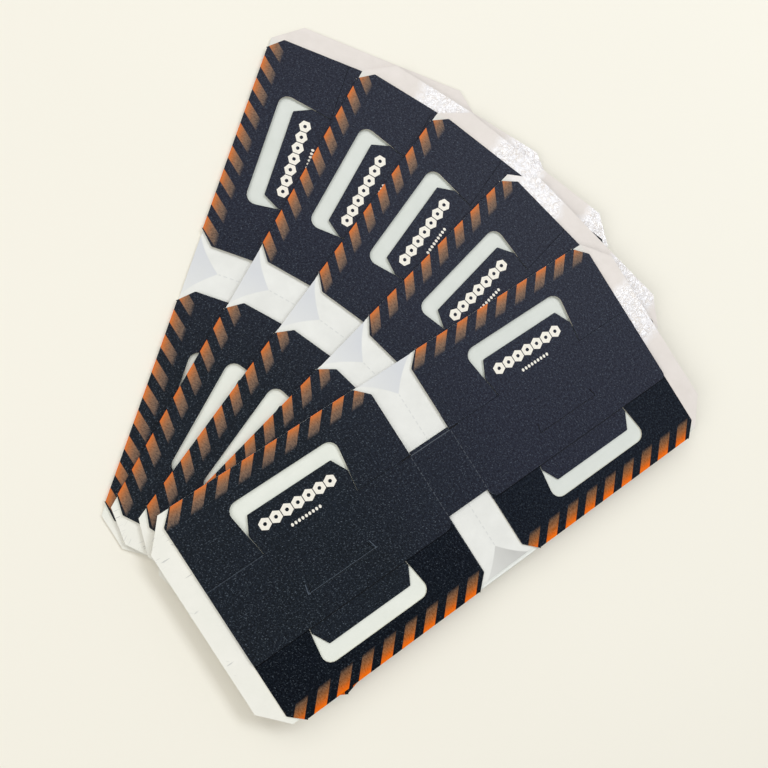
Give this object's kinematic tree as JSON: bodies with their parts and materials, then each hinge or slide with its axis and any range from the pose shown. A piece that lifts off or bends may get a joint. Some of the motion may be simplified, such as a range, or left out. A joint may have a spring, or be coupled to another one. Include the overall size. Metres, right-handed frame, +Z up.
{
  "type": "sticky insect trap pack",
  "caption": "Fan of flat-folded sticky insect traps: black card flaps with entrance windows fold up over a glued white base under a peel-off liner",
  "frame": {"origin": "under the middle of the fan's bounding box, on the surface that the bottom card rests on", "axes": "+X along the top card, +Y across it towards its outer fold, +Z up"},
  "size_m": [0.2378, 0.2358, 0.0109],
  "materials": {
    "black_board": "matte",
    "white_board": "matte",
    "liner_paper": "satin",
    "glue": "gloss"
  },
  "bodies": {
    "card_1": {"card_1_base_board": "white_board", "card_1_glue_left": "glue", "card_1_glue_right": "glue", "card_1_inner_flap_left": "black_board", "card_1_inner_flap_right": "black_board", "card_1_under_roof_left": "black_board", "card_1_under_roof_right": "black_board", "card_1_outer_flap_left": "black_board", "card_1_outer_flap_right": "black_board", "card_1_roof_panel": "black_board"},
    "liner_1": {"card_1_release_liner": "liner_paper"},
    "card_2": {"card_2_base_board": "white_board", "card_2_glue_left": "glue", "card_2_glue_right": "glue", "card_2_inner_flap_left": "black_board", "card_2_inner_flap_right": "black_board", "card_2_under_roof_left": "black_board", "card_2_under_roof_right": "black_board", "card_2_outer_flap_left": "black_board", "card_2_outer_flap_right": "black_board", "card_2_roof_panel": "black_board"},
    "liner_2": {"card_2_release_liner": "liner_paper"},
    "card_3": {"card_3_base_board": "white_board", "card_3_glue_left": "glue", "card_3_glue_right": "glue", "card_3_inner_flap_left": "black_board", "card_3_inner_flap_right": "black_board", "card_3_under_roof_left": "black_board", "card_3_under_roof_right": "black_board", "card_3_outer_flap_left": "black_board", "card_3_outer_flap_right": "black_board", "card_3_roof_panel": "black_board"},
    "liner_3": {"card_3_release_liner": "liner_paper"},
    "card_4": {"card_4_base_board": "white_board", "card_4_glue_left": "glue", "card_4_glue_right": "glue", "card_4_inner_flap_left": "black_board", "card_4_inner_flap_right": "black_board", "card_4_under_roof_left": "black_board", "card_4_under_roof_right": "black_board", "card_4_outer_flap_left": "black_board", "card_4_outer_flap_right": "black_board", "card_4_roof_panel": "black_board"},
    "liner_4": {"card_4_release_liner": "liner_paper"},
    "card_5": {"card_5_base_board": "white_board", "card_5_glue_left": "glue", "card_5_glue_right": "glue"},
    "liner_5": {"card_5_release_liner": "liner_paper"},
    "outer_flap_left": {"card_5_outer_flap_left": "black_board"},
    "outer_flap_right": {"card_5_outer_flap_right": "black_board"},
    "roof_panel": {"card_5_roof_panel": "black_board"},
    "inner_flap_left": {"card_5_inner_flap_left": "black_board"},
    "inner_flap_right": {"card_5_inner_flap_right": "black_board"},
    "under_roof_left": {"card_5_under_roof_left": "black_board"},
    "under_roof_right": {"card_5_under_roof_right": "black_board"}
  },
  "joints": [
    {"name": "card_2_fan", "type": "hinge", "parent": "card_1", "child": "card_2", "pos_m": [-0.11315, -0.03568, 0.0022], "axis": [0, 0, 1], "range_deg": [-8, 10.5]},
    {"name": "card_3_fan", "type": "hinge", "parent": "card_2", "child": "card_3", "pos_m": [-0.18373, -0.06629, 0.0044], "axis": [0, 0, 1], "range_deg": [-8, 7]},
    {"name": "card_4_fan", "type": "hinge", "parent": "card_3", "child": "card_4", "pos_m": [-0.16475, -0.0369, 0.0066], "axis": [0, 0, 1], "range_deg": [-8, 8.5]},
    {"name": "card_5_fan", "type": "hinge", "parent": "card_4", "child": "card_5", "pos_m": [-0.07856, -0.04411, 0.0088], "axis": [0, 0, 1], "range_deg": [-8, 13.5]},
    {"name": "liner_1_pull", "type": "slide", "parent": "card_1", "child": "liner_1", "axis": [0.7716, 0.6361, 0], "range_m": [0, 0.23]},
    {"name": "liner_2_pull", "type": "slide", "parent": "card_2", "child": "liner_2", "axis": [0.8746, 0.4848, 0], "range_m": [0, 0.23]},
    {"name": "liner_3_pull", "type": "slide", "parent": "card_3", "child": "liner_3", "axis": [0.9272, 0.3746, 0], "range_m": [0, 0.23]},
    {"name": "liner_4_pull", "type": "slide", "parent": "card_4", "child": "liner_4", "axis": [0.9724, 0.2334, 0], "range_m": [0, 0.23]},
    {"name": "liner_5_pull", "type": "slide", "parent": "card_5", "child": "liner_5", "axis": [1, 0, 0], "range_m": [0, 0.23]},
    {"name": "trap_erect", "type": "hinge", "parent": "card_5", "child": "outer_flap_left", "pos_m": [-0.05554, -0.0209, 0.0104], "axis": [-1, 0, 0], "range_deg": [0, 34]},
    {"name": "outer_flap_right_fold", "type": "hinge", "parent": "card_5", "child": "outer_flap_right", "pos_m": [0.05546, -0.0209, 0.0104], "axis": [-1, 0, 0], "range_deg": [0, 34]},
    {"name": "roof_panel_crease", "type": "hinge", "parent": "outer_flap_left", "child": "roof_panel", "pos_m": [-0.00004, -0.0551, 0.0104], "axis": [1, 0, 0], "range_deg": [0, 34]},
    {"name": "inner_flap_left_fold", "type": "hinge", "parent": "card_5", "child": "inner_flap_left", "pos_m": [-0.05554, -0.1159, 0.0098], "axis": [1, 0, 0], "range_deg": [0, 34]},
    {"name": "inner_flap_right_fold", "type": "hinge", "parent": "card_5", "child": "inner_flap_right", "pos_m": [0.05546, -0.1159, 0.0098], "axis": [1, 0, 0], "range_deg": [0, 34]},
    {"name": "under_roof_left_crease", "type": "hinge", "parent": "inner_flap_left", "child": "under_roof_left", "pos_m": [-0.05554, -0.0817, 0.0098], "axis": [-1, 0, 0], "range_deg": [0, 34]},
    {"name": "under_roof_right_crease", "type": "hinge", "parent": "inner_flap_right", "child": "under_roof_right", "pos_m": [0.05546, -0.0817, 0.0098], "axis": [-1, 0, 0], "range_deg": [0, 34]}
  ],
  "couplings": [
    {"joint": "outer_flap_right_fold", "follows": "trap_erect", "ratio": 1},
    {"joint": "roof_panel_crease", "follows": "trap_erect", "ratio": 1},
    {"joint": "inner_flap_left_fold", "follows": "trap_erect", "ratio": 1},
    {"joint": "inner_flap_right_fold", "follows": "trap_erect", "ratio": 1},
    {"joint": "under_roof_left_crease", "follows": "trap_erect", "ratio": 1},
    {"joint": "under_roof_right_crease", "follows": "trap_erect", "ratio": 1}
  ]
}
